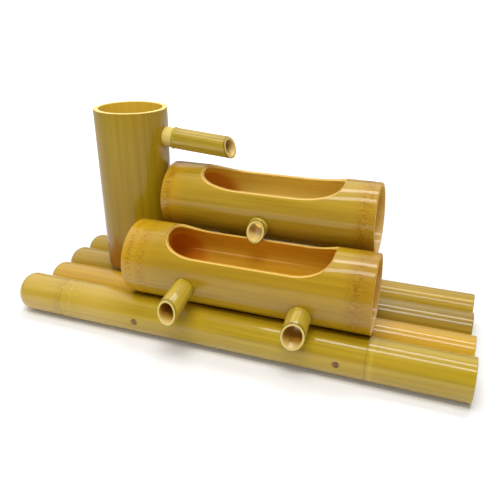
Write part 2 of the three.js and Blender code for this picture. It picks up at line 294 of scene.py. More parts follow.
def streaks(tree, place, layer):
    stretch = tree.nodes.new("ShaderNodeMapping")
    tree.links.new(place, stretch.inputs["Vector"])
    stretch.inputs["Scale"].default_value = (layer["across"], layer["across"], layer["along"])
    noise = tree.nodes.new("ShaderNodeTexNoise")
    tree.links.new(stretch.outputs[0], noise.inputs["Vector"])
    noise.inputs["Scale"].default_value = 1.0
    noise.inputs["Detail"].default_value = layer["detail"]
    noise.inputs["Roughness"].default_value = layer["roughness"]
    noise.inputs["Distortion"].default_value = layer["distortion"]
    return spread(tree, noise.outputs["Fac"], layer["low"], layer["high"])


def makeCaneGrain():
    group, given, out = newGroup("cane grain", {"Place": None, "Shift": None}, list(grainLayers))
    moved = group.nodes.new("ShaderNodeVectorMath")
    moved.operation = "ADD"
    group.links.new(given.outputs["Place"], moved.inputs[0])
    group.links.new(given.outputs["Shift"], moved.inputs[1])
    for label, layer in grainLayers.items():
        group.links.new(streaks(group, moved.outputs[0], layer), out.inputs[label])
    return group


def makeNodeBand():
    # 1 at a place along the cane, falling off on both sides
    group, given, out = newGroup("node band", {"Along": 0.0, "Place": 0.0, "Reach": 0.003}, ["Band"])
    away = sums(group, "ABSOLUTE", less(group, given.outputs["Along"], given.outputs["Place"]))
    share = sums(group, "DIVIDE", away, given.outputs["Reach"])
    group.links.new(spread(group, share, 1.0, 0.0), out.inputs["Band"])
    return group


# painted shade or light in a bore has an edge that is sharp up to one place along it and soft from another,
# in half lengths from its middle
paintedLightEdge = {"sharpUpTo": -0.4, "softFrom": 1.0, "sharp": 0.05, "soft": 0.35}


def makePaintedBoreLight():
    # painted shade or light inside a trough, an oval or a streak, by its place along the cane and its angle
    # from the cane's top
    group, given, out = newGroup(
        "bore painted light", {"Place": None, "Along": 0.04, "Half Length": 0.02, "Angle": 1.66, "Half Angle": 0.6,
                       "Size": 1.0}, ["Mask"])
    x, y, z = partsOf(group, given.outputs["Place"])
    angle = sums(group, "ARCTAN2", y, times(group, x, -1.0))
    across = sums(group, "DIVIDE", less(group, angle, given.outputs["Angle"]), given.outputs["Half Angle"])
    along = sums(group, "DIVIDE", less(group, z, given.outputs["Along"]), given.outputs["Half Length"])
    reach = sums(group, "DIVIDE", lengthOf(group, across, along), given.outputs["Size"])
    softness = spread(group, along, paintedLightEdge["sharpUpTo"], paintedLightEdge["softFrom"], paintedLightEdge["sharp"],
                      paintedLightEdge["soft"])
    pastEdge = sums(group, "DIVIDE", less(group, reach, 1.0), softness)
    group.links.new(spread(group, pastEdge, 1.0, -1.0), out.inputs["Mask"])
    return group


caneZones, caneGrain, nodeBand, borePaintedLight = makeCaneZones(), makeCaneGrain(), makeNodeBand(), makePaintedBoreLight()

# what holds for a length of cane unless its own dictionary says otherwise, lengths in mm
caneLook = {
    "taper": 0.0, "fibre": 0.35, "cloud": 0.4, "insideFibre": 0.2,
    "bands": [], "specks": [], "endBands": [], "paintedShadeAndLight": [],
    "lipFade": (2.4, 0.6), "capFade": (2, -1), "rimFade": 0.3,
    "roughness": (0.3, 0.42), "bareRoughness": 0.4,
    "boreGloss": 0.5, "leastGloss": 0.05, "coatRoughness": 0.06, "specular": 0.3, "ior": 1.5,
    "relief": 0.1, "reliefStrength": 0.3, "fibreRelief": 0.25, "bandRelief": 0.75,
}


def bandMask(tree, zones, at, reach):
    return useGroup(tree, nodeBand, Along=zones["Along"], Place=at * mm, Reach=reach * mm)["Band"]


def skinColour(tree, look, place, zones, grain):
    skin = blendColour(tree, grain["Bands"], look["skinDark"], look["skinLight"])
    skin = tint(tree, skin, grain["Fibres"], look["fibre"], look["fibreTone"])
    skin = tint(tree, skin, grain["Clouds"], look["cloud"], look["cloudTone"])
    if "lipPlane" in look:
        # a thin line just behind a mouth that is cut askew
        normal, reach, shade = look["lipPlane"]
        gone, full = look["lipFade"]
        behind = reach * mm * normal.z
        for part, share in zip(partsOf(tree, place), normal):
            behind = less(tree, behind, times(tree, part, share))
        skin = blendColour(tree, spread(tree, behind, gone * mm, full * mm), skin, shade)
    for at, reach, shade, strength in look["bands"]:
        skin = tint(tree, skin, bandMask(tree, zones, at, reach), strength, shade)
    for at, reach, shade, strength in look["specks"]:
        mask = times(tree, bandMask(tree, zones, at, reach), grain["Specks"])
        skin = tint(tree, skin, mask, strength, shade)
    return skin


def wallColour(tree, look, zones, grain):
    wood = blendColour(tree, grain["Fibres"], look["wallDark"], look["wallLight"])
    if "rimShadeDepth" in look:
        # the wall is darker from this depth on, a painted shadow along the inner edge of a cut rim
        low, high = look["rimShadeDepth"] - look["rimFade"], look["rimShadeDepth"] + look["rimFade"]
        wood = blendColour(tree, spread(tree, zones["Wall"], low * mm, high * mm), wood, look["rimShadeTone"])
    return wood


def boreColour(tree, look, place, zones, grain):
    inside = blendColour(tree, grain["Bands"], look["boreDark"], look["boreLight"])
    inside = tint(tree, inside, grain["Fibres"], look["insideFibre"], look["boreDark"])
    for at, reach, shade, strength in look["endBands"]:
        inside = tint(tree, inside, bandMask(tree, zones, at, reach), strength, shade)
    # painted shade and painted highlights inside a trough
    for along, halfLength, angle, halfAngle, size, shade, strength in look["paintedShadeAndLight"]:
        mask = useGroup(tree, borePaintedLight, Place=place, Along=along * mm, Half_Length=halfLength * mm,
                        Angle=math.radians(angle), Half_Angle=math.radians(halfAngle), Size=size)["Mask"]
        inside = tint(tree, inside, mask, strength, shade)
    return inside


def caneMaterial(ownLook):
    # lengths in mm, and places along the cane from its own start
    look = {**caneLook, **ownLook}
    material = bpy.data.materials.new(look["name"])
    material.use_nodes = True
    tree = material.node_tree
    shader = tree.nodes["Principled BSDF"]
    coordinates = tree.nodes.new("ShaderNodeTexCoord")
    centred = tree.nodes.new("ShaderNodeMapping")
    centred.vector_type = "TEXTURE"
    centred.inputs["Location"].default_value = Vector(look["place"]) * mm
    centred.inputs["Rotation"].default_value = eulerOf(look["turn"])
    tree.links.new(coordinates.outputs["Object"], centred.inputs["Vector"])
    place = centred.outputs[0]
    zones = useGroup(tree, caneZones, Place=place, Skin_Radius=look["radius"] * mm,
                     Bore_Radius=look["bore"] * mm, Taper=look["taper"])
    grain = useGroup(tree, caneGrain, Place=place, Shift=look["shift"])
    skinned = zones["Skin"]
    if "capUpTo" in look:
        # a closed end keeps the look of the skin over its rounding
        gone, full = look["capFade"]
        cap = spread(tree, zones["Along"], (look["capUpTo"] + gone) * mm, (look["capUpTo"] + full) * mm)
        skinned = sums(tree, "MAXIMUM", skinned, cap)
    outside = blendColour(tree, skinned, wallColour(tree, look, zones, grain),
                          skinColour(tree, look, place, zones, grain))
    colour = blendColour(tree, zones["Bore"], outside, boreColour(tree, look, place, zones, grain))
    tree.links.new(colour, shader.inputs["Base Color"])
    bare = sums(tree, "SUBTRACT", less(tree, 1.0, skinned), zones["Bore"], clamp=True)
    clouded = spread(tree, grain["Clouds"], 0.0, 1.0, *look["roughness"])
    rough = sums(tree, "ADD", clouded, times(tree, bare, look["bareRoughness"]))
    tree.links.new(rough, shader.inputs["Roughness"])
    lacquer = sums(tree, "ADD", times(tree, skinned, look["gloss"]), look["leastGloss"])
    lacquer = sums(tree, "ADD", lacquer, times(tree, zones["Bore"], look["boreGloss"]), clamp=True)
    tree.links.new(lacquer, shader.inputs["Coat Weight"])
    shader.inputs["Coat Roughness"].default_value = look["coatRoughness"]
    shader.inputs["Specular IOR Level"].default_value = look["specular"]
    shader.inputs["IOR"].default_value = look["ior"]
    bump = tree.nodes.new("ShaderNodeBump")
    bump.inputs["Strength"].default_value = look["reliefStrength"]
    bump.inputs["Distance"].default_value = look["relief"] * mm
    height = sums(tree, "ADD", times(tree, grain["Fibres"], look["fibreRelief"]),
                  times(tree, grain["Bands"], look["bandRelief"]))
    tree.links.new(height, bump.inputs["Height"])
    tree.links.new(bump.outputs["Normal"], shader.inputs["Normal"])
    return material


# Raft of poles

# what the poles share with the posts
plainCane = {"gloss": 0.85, "wallDark": tone(216, 180, 92), "wallLight": tone(238, 208, 124),
             "boreDark": tone(196, 154, 74), "boreLight": tone(222, 188, 110)}

# bands and specks are (place along, reach, tone, strength)
poles = [
    {"name": "raftPoleFront", "node": "raft_pole_1", "slot": "pole_front", "radius": 21.8, "left": -252.5,
     "right": 252.5, "y": -42.777, "z": 21.2, "nodes": [-190.385, -178.265, 155.035],
     "shift": (3.1, 0.7, 1.9), "skinDark": tone(176, 146, 14), "skinLight": tone(202, 172, 32),
     "fibreTone": tone(164, 132, 10), "cloudTone": tone(196, 158, 30),
     "bands": [(24, 70, tone(214, 176, 60), 0.65), (61.5, 1.2, tone(150, 130, 16), 0.4),
               (65, 2.2, tone(208, 184, 60), 0.35), (74.6, 2, tone(212, 188, 64), 0.35),
               # the pale band 104 mm along is a painted reflection of the window
               (104, 60, tone(222, 186, 80), 0.5), (407.2, 1.6, tone(150, 130, 14), 0.3),
               (412, 4, tone(216, 186, 60), 0.4), (470, 70, tone(170, 140, 4), 0.35)],
     "specks": [(57, 6, tone(146, 108, 20), 0.4), (408, 7, tone(150, 122, 16), 0.3)]},
    {"name": "raftPoleSecond", "node": "raft_pole_2", "slot": "pole_second", "radius": 20.4, "left": -242.5,
     "right": 250.2, "y": 0.0, "z": 19.8, "nodes": [85.145],
     "shift": (1.3, 5.2, 0.4), "skinDark": tone(200, 154, 22), "skinLight": tone(216, 176, 42),
     "fibreTone": tone(188, 134, 16), "cloudTone": tone(210, 164, 30),
     "bands": [(327.6, 1.6, tone(160, 120, 40), 0.6)]},
    {"name": "raftPoleThird", "node": "raft_pole_3", "slot": "pole_third", "radius": 21.5, "left": -245.5,
     "right": 246.2, "y": 42.486, "z": 20.9, "nodes": [93.773],
     "shift": (7.7, 2.6, 3.3), "skinDark": tone(144, 114, 16), "skinLight": tone(174, 140, 28),
     "fibreTone": tone(128, 102, 14), "cloudTone": tone(168, 138, 30),
     "bands": [(0, 190, tone(190, 152, 26), 0.6), (339.3, 1.6, tone(110, 96, 30), 0.6)]},
    {"name": "raftPoleRear", "node": "raft_pole_4", "slot": "pole_rear", "radius": 21.5, "left": -247.5,
     "right": 245.5, "y": 86.086, "z": 20.9, "nodes": [68.02], "gloss": 0.6,
     "shift": (4.9, 9.4, 6.8), "skinDark": tone(172, 138, 22), "skinLight": tone(196, 160, 36),
     "fibreTone": tone(152, 120, 16), "cloudTone": tone(190, 156, 40),
     "bands": [(0, 190, tone(178, 144, 4), 0.8), (315.5, 1.6, tone(130, 108, 40), 0.6)]},
]
poleBuild = {"wall": 4.6, "septum": 5, "endRound": 13, "edge": 0.8, "innerEdge": 0.4, "axisCircle": 0.6,
             "nodeHeight": 0.25, "nodeWidth": 5, "sides": 128}
poleNode = [(-0.62, 0), (-0.34, 0.45), (-0.16, 0.7), (-0.05, -0.5), (0.05, -0.5), (0.14, 1), (0.34, 0.6),
            (0.62, 0)]  # a scar groove between two low swellings
poleFloorCorner = [(1.5, 0), (0.4, -0.5), (0, -1.6)]
dowelBuild = {"radius": 3.25, "clearance": 0.3, "chamfer": 0.5, "places": {"left": -93.93, "right": 127.26},
              "height": 21.2, "front": -64.277, "rear": 107.286, "axisCircle": 0.3, "drillOverrun": 10,
              "sides": 48}


def drillForDowels(piece, pole):
    for place in dowelBuild["places"].values():
        bpy.ops.object.select_all(action="DESELECT")
        bpy.ops.mesh.primitive_cylinder_add(
            vertices=dowelBuild["sides"], radius=(dowelBuild["radius"] + dowelBuild["clearance"]) * mm,
            depth=(2 * pole["radius"] + dowelBuild["drillOverrun"]) * mm, rotation=(math.radians(90), 0, 0),
            location=(place * mm, pole["y"] * mm, dowelBuild["height"] * mm))
        cutAway(piece, bpy.context.object)


def flattenUnderside(piece):
    # the raft stands on narrow flats at the bottom of each pole
    editWhole(piece)
    bpy.ops.mesh.bisect(plane_co=(0, 0, 0), plane_no=(0, 0, -1), clear_outer=True, use_fill=True,
                        threshold=meshWork["planeTouch"] * mm)
    bpy.ops.object.mode_set(mode="OBJECT")


def makePole(pole):
    radius, length = pole["radius"], pole["right"] - pole["left"]
    bore = radius - poleBuild["wall"]
    seat = (pole["left"], pole["y"], pole["z"])
    floor = pole["nodes"][-1] - pole["left"] + poleBuild["septum"] / 2
    rings = [(0, poleBuild["axisCircle"])]
    rings += roundCorner("nearOuter", 0, radius, poleBuild["endRound"], steps=12)
    for node in pole["nodes"]:
        rings += shapeAt(poleNode, node - pole["left"], radius, poleBuild["nodeWidth"],
                         poleBuild["nodeHeight"])
    rings += roundCorner("farOuter", length, radius, poleBuild["edge"], steps=4)
    rings += roundCorner("farInner", length, bore, poleBuild["innerEdge"], steps=2)
    rings += shapeAt(poleFloorCorner, floor, bore) + [(floor, poleBuild["axisCircle"])]
    piece = turnCane(pole["name"], rings, poleBuild["sides"])
    putAt(piece, layAlongX, seat)
    drillForDowels(piece, pole)
    flattenUnderside(piece)
    smoothSkin(piece)
    look = {**plainCane, **pole, "name": pole["name"] + "Skin", "bore": bore, "turn": layAlongX,
            "place": seat, "capUpTo": poleBuild["endRound"]}
    return finishPiece(piece, pole["node"], "raft", caneMaterial(look))


for pole in poles:
    makePole(pole)
print("raft poles made:", len(poles))


# Dowels through the raft

dowelLook = {"shift": (2.0, 1.0, 4.0), "dark": tone(106, 74, 34), "light": tone(150, 110, 62),
             "roughness": 0.55, "gloss": 0.1}


def makeDowelWood():
    material = bpy.data.materials.new("dowelWood")
    material.use_nodes = True
    tree = material.node_tree
    shader = tree.nodes["Principled BSDF"]
    coordinates = tree.nodes.new("ShaderNodeTexCoord")
    grain = useGroup(tree, caneGrain, Place=coordinates.outputs["Object"], Shift=dowelLook["shift"])
    colour = blendColour(tree, grain["Fibres"], dowelLook["dark"], dowelLook["light"])
    tree.links.new(colour, shader.inputs["Base Color"])
    shader.inputs["Roughness"].default_value = dowelLook["roughness"]
    shader.inputs["Coat Weight"].default_value = dowelLook["gloss"]
    return material


def makeDowel(side, place, material):
    radius, reach = dowelBuild["radius"], dowelBuild["rear"] - dowelBuild["front"]
    rings = [(0, dowelBuild["axisCircle"])]
    rings += roundCorner("nearOuter", 0, radius, dowelBuild["chamfer"], steps=3)
    rings += roundCorner("farOuter", reach, radius, dowelBuild["chamfer"], steps=3)
    rings += [(reach, dowelBuild["axisCircle"])]
    piece = turnCane("raftDowel" + side.capitalize(), rings, dowelBuild["sides"])
    putAt(piece, (-90, 0, 0), (place, dowelBuild["front"], dowelBuild["height"]))
    smoothSkin(piece)
    return finishPiece(piece, "raft_dowel_" + side, "raft", material)


dowelWood = makeDowelWood()
for side, place in dowelBuild["places"].items():
    makeDowel(side, place, dowelWood)
print("dowels made")


# Spouts. Root, carrier, ring and reach are places along a spout: its hidden end, the outside of the
# trough or cup that holds it, its raised ring, and its mouth. The collar is a peeled length past the
# carrier, and the bore is pale for paleReach behind the mouth

spouts = {
    "cup": {"name": "cupSpout", "node": "cup_spout", "body": "cup_spout", "slot": "spout_cup",
            "radius": 11.7, "wall": 3.1, "reach": 116.3, "tilt": 6.5, "bearing": 97.5, "slant": 24,
            "lean": 36, "origin": (-145.29, 44.373, 202.005), "root": 33.108, "carrier": 41.108,
            "collar": 9, "peel": 0.6, "paleReach": 16, "gloss": 0.45, "shift": (0.4, 3.9, 8.2),
            "bands": [(45.108, 8.5, tone(224, 198, 96), 1.0), (51.708, 3.4, tone(170, 160, 40), 0.7)]},
    "rear": {"name": "rearSpout", "node": "rear_spout", "body": "rear_spout", "slot": "spout_trough",
             "radius": 10.1, "wall": 2.7, "reach": 51, "tilt": 15, "bearing": 0, "slant": 36, "lean": 0,
             "origin": (18.76, 55.657, 128.539), "root": 33.2, "carrier": 38.6, "ring": 41.8,
             "paleReach": 34, "shift": (5.5, 1.2, 3.6),
             "bands": [(39, 1.4, tone(120, 92, 10), 0.8), (41.8, 2.4, tone(218, 190, 76), 0.6)]},
    "left": {"name": "frontSpoutLeft", "node": "front_spout_left", "body": "front_spout_left",
             "slot": "spout_trough", "radius": 11.3, "wall": 2.8, "reach": 80.2, "tilt": 12.6,
             "bearing": 0, "slant": 30, "lean": 19, "origin": (-35.3, -17.452, 78.667), "root": 35.3,
             "carrier": 40.7, "paleReach": 12, "shift": (9.1, 6.4, 2.2)},
    "right": {"name": "frontSpoutRight", "node": "front_spout_right", "body": "front_spout_right",
              "slot": "spout_trough", "radius": 12.0, "wall": 2.6, "reach": 65.8, "tilt": 25.9,
              "bearing": 0, "slant": 34, "lean": -11, "origin": (87.2, -17.452, 78.667), "root": 35.3,
              "carrier": 40.7, "paleReach": 12, "shift": (2.8, 8.3, 5.7)},
}
spoutTones = {"skinDark": tone(164, 136, 14), "skinLight": tone(210, 182, 64),
              "fibreTone": tone(132, 104, 8), "cloudTone": tone(198, 168, 48),
              "boreDark": tone(168, 120, 34), "boreLight": tone(190, 142, 46),
              "wallDark": tone(222, 198, 104), "wallLight": tone(238, 216, 130), "fibre": 0.5, "gloss": 0.65}
mouthTones = {"pale": tone(236, 206, 124), "paleStrength": 0.95, "line": tone(142, 114, 14)}
spoutBuild = {"sides": 96, "overrun": 5, "ringWidth": 5, "ringHeight": 0.8, "edge": 0.35, "edgeAngle": 50,
              "smoothAngle": 40, "holeGap": 0.3, "holeOverrun": 12}
spoutRing = [(-0.5, 0), (-0.34, 0.75), (0, 1), (0.34, 0.75), (0.5, 0)]
peelEnd = [(-0.5, 0), (0, 0.25)]
collarRise = [(0.5, 0.45), (1.2, 0.7), (2, 0.55), (3, 0.1), (4, 0)]


def spoutTurn(spout):
    # the turn that takes +Z to the spout's axis with its lip downwards
    tilt, bearing = math.radians(spout["tilt"]), math.radians(spout["bearing"])
    axis = Vector((math.sin(bearing) * math.cos(tilt), -math.cos(bearing) * math.cos(tilt), -math.sin(tilt)))
    side = Vector((0, 0, 1)).cross(axis).normalized()
    basis = Matrix((side, axis.cross(side), axis)).transposed()
    return [math.degrees(a) for a in basis.to_euler()]


def spoutOutside(spout):
    radius = spout["radius"]
    outside = [(spout["root"], radius)]
    if "collar" in spout:
        peeled, shoulder = radius - spout["peel"], spout["carrier"] + spout["collar"]
        outside = [(spout["root"], peeled)] + shapeAt(peelEnd, shoulder, peeled)
        outside += shapeAt(collarRise, shoulder, radius)
    if "ring" in spout:
        outside += shapeAt(spoutRing, spout["ring"], radius, spoutBuild["ringWidth"],
                           spoutBuild["ringHeight"])
    return outside


def cutMouth(piece, reach, normal):
    editWhole(piece)
    bpy.ops.mesh.bisect(plane_co=(0, 0, reach * mm), plane_no=normal, clear_outer=True,
                        threshold=meshWork["planeTouch"] * mm)
    bpy.ops.mesh.bridge_edge_loops()
    bpy.ops.object.mode_set(mode="OBJECT")


def makeSpout(spout):
    radius, bore, root = spout["radius"], spout["radius"] - spout["wall"], spout["root"]
    slant, lean = math.radians(spout["slant"]), math.radians(spout["lean"])
    lip = spout["reach"] + radius * math.tan(slant)
    end = lip + spoutBuild["overrun"]
    rings = [(root, bore)] + spoutOutside(spout) + [(end, radius), (end, bore), (root, bore)]
    piece = turnCane(spout["name"], rings, spoutBuild["sides"], hollow=True)
    cutNormal = Vector((0, math.sin(slant), math.cos(slant)))
    cutNormal.rotate(Euler((0, 0, lean)))
    cutMouth(piece, spout["reach"], cutNormal)
    turn = spoutTurn(spout)
    easeEdges(piece, spoutBuild["edge"], spoutBuild["edgeAngle"])
    putAt(piece, turn, spout["origin"])
    smoothSkin(piece, spoutBuild["smoothAngle"])
    look = {**spoutTones, **spout, "name": spout["name"] + "Skin", "bore": bore, "turn": turn,
            "place": spout["origin"], "lipPlane": (cutNormal, spout["reach"], mouthTones["line"]),
            "endBands": [(lip, spout["paleReach"], mouthTones["pale"], mouthTones["paleStrength"])]}
    return finishPiece(piece, spout["node"], spout["body"], caneMaterial(look))


def spoutHole(spout, piece):
    # the hole in the carrier that takes the spout
    radius = spout["radius"] - spout.get("peel", 0) + spoutBuild["holeGap"]
    length = spout["carrier"] + spoutBuild["holeOverrun"]
    cutter = turnCane("hole", [(0, radius), (length, radius)], spoutBuild["sides"])
    putAt(cutter, spoutTurn(spout), spout["origin"])
    return cutAway(piece, cutter)


for spout in spouts.values():
    makeSpout(spout)
print("spouts made:", len(spouts))


# Troughs. An opening is (setback, length, depth, corner, roll); painted shade and light in a bore are
# (place along, half length, angle from the top, half angle, size, tone, strength): each trough's first two
# paint shade at the closed left end inside, with a lighter rim round it, and the last one of the front
# trough is a painted highlight streak

troughs = {
    "front": {"name": "frontTrough", "node": "front_trough", "slot": "trough_front", "radius": 40.7,
              "wall": 3.4, "left": -108.7, "length": 262.5, "y": -17.452, "z": 78.667, "endTurn": 2.7,
              "endLean": 0, "opening": (43.8, 176.9, 16.7, 38, 5.2), "spouts": ("left", "right"),
              "shift": (6.6, 0.2, 7.4), "skinDark": tone(168, 132, 10), "skinLight": tone(186, 150, 26),
              "fibreTone": tone(156, 116, 8), "cloudTone": tone(180, 138, 22),
              "bands": [(6, 38, tone(210, 162, 24), 0.75), (256, 30, tone(176, 128, 10), 0.55)],
              "specks": [(9, 7, tone(160, 114, 2), 0.8), (22, 11, tone(160, 114, 2), 0.9),
                         (249, 16, tone(142, 100, 1), 0.9)],
              "boreDark": tone(218, 168, 42), "boreLight": tone(230, 184, 60), "boreGloss": 0.3,
              "endBands": [(252, 12, tone(216, 166, 66), 1.0), (263, 6, tone(238, 200, 128), 1.0)],
              # painted shade at the closed left end inside, drawn over a larger lighter oval that leaves a
              # lighter rim
              "paintedShadeAndLight": [(40.7, 22.5, 95, 36, 1.25, tone(236, 178, 58), 0.6),
                         (40.7, 22.5, 95, 36, 1.0, tone(216, 130, 34), 0.9),
                         # a painted highlight: a thin streak of reflected light along the back of the bore
                         (112, 66, 89.8, 1.8, 1.0, tone(252, 218, 134), 0.75)]},
    "rear": {"name": "rearTrough", "node": "rear_trough", "slot": "trough_rear", "radius": 38.6,
             "wall": 3.4, "left": -99.44, "length": 239.5, "y": 55.657, "z": 128.539, "endTurn": 1.3,
             "endLean": 1.9, "opening": (40.4, 161.4, 13.3, 50, 7), "spouts": ("rear",),
             "shift": (1.9, 4.4, 0.6), "skinDark": tone(170, 136, 20), "skinLight": tone(190, 156, 38),
             "fibreTone": tone(156, 120, 14), "cloudTone": tone(184, 148, 34),
             "bands": [(5, 30, tone(210, 156, 22), 0.65), (232, 22, tone(196, 146, 30), 0.55)],
             "specks": [(8, 9, tone(146, 102, 2), 0.8), (228, 15, tone(144, 98, 2), 0.85)],
             "boreDark": tone(234, 204, 100), "boreLight": tone(244, 217, 122),
             "endBands": [(229, 12, tone(216, 166, 66), 1.0), (240, 6, tone(232, 192, 120), 1.0)],
             # painted shade at the closed left end inside, with a lighter rim round it
             "paintedShadeAndLight": [(38.4, 26.5, 95, 43, 1.25, tone(240, 196, 90), 0.6),
                        (38.4, 26.5, 95, 43, 1.0, tone(222, 144, 40), 0.9)]},
}
# the cut rims get a painted shadow along their inner edge, from 2.4 mm into the wall
troughTones = {"fibre": 0.16, "cloud": 0.5, "relief": 0.05, "gloss": 0.72, "coatRoughness": 0.09,
               "specular": 0.2, "rimShadeDepth": 2.4, "rimShadeTone": tone(160, 104, 30),
               "wallDark": tone(222, 176, 88), "wallLight": tone(238, 199, 114)}
troughBuild = {"septum": 5, "inset": 15, "nodeHeight": 0.2, "nodeWidth": 12, "edge": 1.4, "innerEdge": 0.5,
               "fillet": 8, "sides": 192, "slotSides": 96, "slotAcross": 2.6, "endReach": 3, "rimEdge": 0.9,
               "rimAngle": 40, "rimSegments": 3}
troughNode = [(-0.5, 0), (-0.3, 0.6), (-0.12, 1), (0.12, 1), (0.3, 0.6), (0.5, 0)]


def slotCutter(trough):
    # a flat slot whose ends rise to the crest in quarter ellipses, rolled towards the front
    setback, length, depth, corner, roll = trough["opening"]
    halfStep = math.radians(180 / troughBuild["slotSides"])
    bpy.ops.object.select_all(action="DESELECT")
    bpy.ops.mesh.primitive_cylinder_add(vertices=troughBuild["slotSides"], radius=1, depth=1,
                                        rotation=(0, 0, halfStep))
    cutter = bpy.context.object
    bpy.ops.object.transform_apply(rotation=True)
    cutter.rotation_euler = (math.radians(90), 0, 0)
    bpy.ops.object.transform_apply(rotation=True)
    cutter.scale = (corner * mm, troughBuild["slotAcross"] * trough["radius"] * mm, depth * mm)
    cutter.location = (0, 0, trough["radius"] * mm)
    bpy.ops.object.transform_apply(location=True, scale=True)
    for point in cutter.data.vertices:
        if point.co.x > 0:
            point.co.x += (length - 2 * corner) * mm
    return putAt(cutter, (roll, 0, 0), (trough["left"] + setback + corner, trough["y"], trough["z"]))


def chamberCutter(start, end, bore, seat):
    # the room between the two septa
    rings = [(start, axisCircle)] + roundCorner("nearOuter", start, bore, troughBuild["fillet"], steps=8)
    rings += roundCorner("farOuter", end, bore, troughBuild["fillet"], steps=8) + [(end, axisCircle)]
    return putAt(turnCane("chamber", rings, troughBuild["sides"]), layAlongX, seat)


def slantFarEnd(piece, trough, seat):
    # the far end is cut slightly off square
    farEnd = (trough["left"] + trough["length"]) * mm
    acrossSlope = math.tan(math.radians(trough["endTurn"]))
    upSlope = math.tan(math.radians(trough["endLean"]))
    for point in piece.data.vertices:
        if point.co.x > farEnd - troughBuild["endReach"] * mm:
            point.co.x -= acrossSlope * (point.co.y - seat[1] * mm) + upSlope * (point.co.z - seat[2] * mm)


def makeTrough(trough):
    radius, length = trough["radius"], trough["length"]
    bore = radius - trough["wall"]
    inset, septum = troughBuild["inset"], troughBuild["septum"] / 2
    seat = (trough["left"], trough["y"], trough["z"])
    recess = recessedEnd(inset - septum, bore)
    rings = recess + roundCorner("nearInner", 0, bore, troughBuild["innerEdge"], steps=3)
    rings += roundCorner("nearOuter", 0, radius, troughBuild["edge"], steps=6)
    for node in (inset, length - inset):
        rings += shapeAt(troughNode, node, radius, troughBuild["nodeWidth"], troughBuild["nodeHeight"])
    rings += roundCorner("farOuter", length, radius, troughBuild["edge"], steps=6)
    rings += roundCorner("farInner", length, bore, troughBuild["innerEdge"], steps=3)
    rings += [(length - along, reach) for along, reach in reversed(recess)]
    piece = turnCane(trough["name"], rings, troughBuild["sides"])
    putAt(piece, layAlongX, seat)
    slantFarEnd(piece, trough, seat)
    cutAway(piece, chamberCutter(inset + septum, length - inset - septum, bore, seat))
    cutAway(piece, slotCutter(trough))
    easeEdges(piece, troughBuild["rimEdge"], troughBuild["rimAngle"], troughBuild["rimSegments"])
    for key in trough["spouts"]:
        spoutHole(spouts[key], piece)
    smoothSkin(piece)
    look = {**troughTones, **trough, "name": trough["name"] + "Skin", "bore": bore, "turn": layAlongX,
            "place": seat}
    return finishPiece(piece, trough["node"], "raft", caneMaterial(look))


for trough in troughs.values():
    makeTrough(trough)
print("troughs made:", len(troughs))


# Posts under the rear trough, saddle-cut to the two rear poles and to the trough

posts = {"left": {"x": -27.59, "shift": (-1.9313, 2.0, 1.0)},
         "right": {"x": 87.37, "shift": (6.1159, 2.0, 1.0)}}
postBuild = {"radius": 15, "wall": 4, "foot": 33.4, "gap": 0.3, "edge": 0.3, "edgeAngle": 50,
             "smoothAngle": 40, "sides": 96, "saddleReach": 60, "saddleSides": 160}
postTones = {"skinDark": tone(150, 130, 50), "skinLight": tone(184, 164, 78),
             "fibreTone": tone(130, 106, 34), "cloudTone": tone(176, 152, 64)}


def makePost(side, post):
    radius, foot, top = postBuild["radius"], postBuild["foot"], troughs["rear"]["z"]
    bore = radius - postBuild["wall"]
    name = "troughPost" + side.capitalize()
    seat = (post["x"], troughs["rear"]["y"], 0)
    rings = [(foot, bore), (foot, radius), (top, radius), (top, bore), (foot, bore)]
    piece = turnCane(name, rings, postBuild["sides"], hollow=True)
    putAt(piece, upright, seat)
    for carrier in (poles[2], poles[3], troughs["rear"]):
        reach, size = postBuild["saddleReach"], carrier["radius"] + postBuild["gap"]
        saddle = turnCane("saddle", [(-reach, size), (reach, size)], postBuild["saddleSides"])
        cutAway(piece, putAt(saddle, layAlongX, (post["x"], carrier["y"], carrier["z"])))
    easeEdges(piece, postBuild["edge"], postBuild["edgeAngle"])
    smoothSkin(piece, postBuild["smoothAngle"])
    look = {**plainCane, **postTones, "name": name + "Skin", "radius": radius, "bore": bore,
            "turn": upright, "place": seat, "shift": post["shift"]}
    return finishPiece(piece, "trough_post_" + side, "raft", caneMaterial(look))


for side, post in posts.items():
    makePost(side, post)
print("posts made")


# Cup

cup = {"x": -145.29, "y": 44.373, "foot": 42.5, "height": 185.705, "topRadius": 41.25, "footRadius": 39.7,
       "wall": 6, "septum": 6, "recess": 9, "edge": 1, "footEdge": 0.5, "lipEdge": 0.6, "floorRound": 3,
       "hoseRadius": 6.5, "hoseHeight": 27, "hoseReach": 60, "hoseSides": 64, "holeEdge": 0.3,
       "holeAngle": 50, "sides": 192,
       "shift": (5.3, 3.3, 0.9), "skinDark": tone(156, 128, 6), "skinLight": tone(172, 142, 16),
       "fibreTone": tone(146, 108, 6), "cloudTone": tone(168, 126, 8), "boreDark": tone(226, 186, 58),
       "boreLight": tone(232, 194, 68), "wallDark": tone(238, 210, 130), "wallLight": tone(252, 230, 156),
       "gloss": 0.4, "specular": 0.2, "fibre": 0.08, "relief": 0.03,
       # the foot is darker and browner: partly the cup's own stain, partly painted shade and a painted
       # orange reflection of the trough beside it
       "bands": [(0, 62, tone(168, 96, 4), 0.85)]}


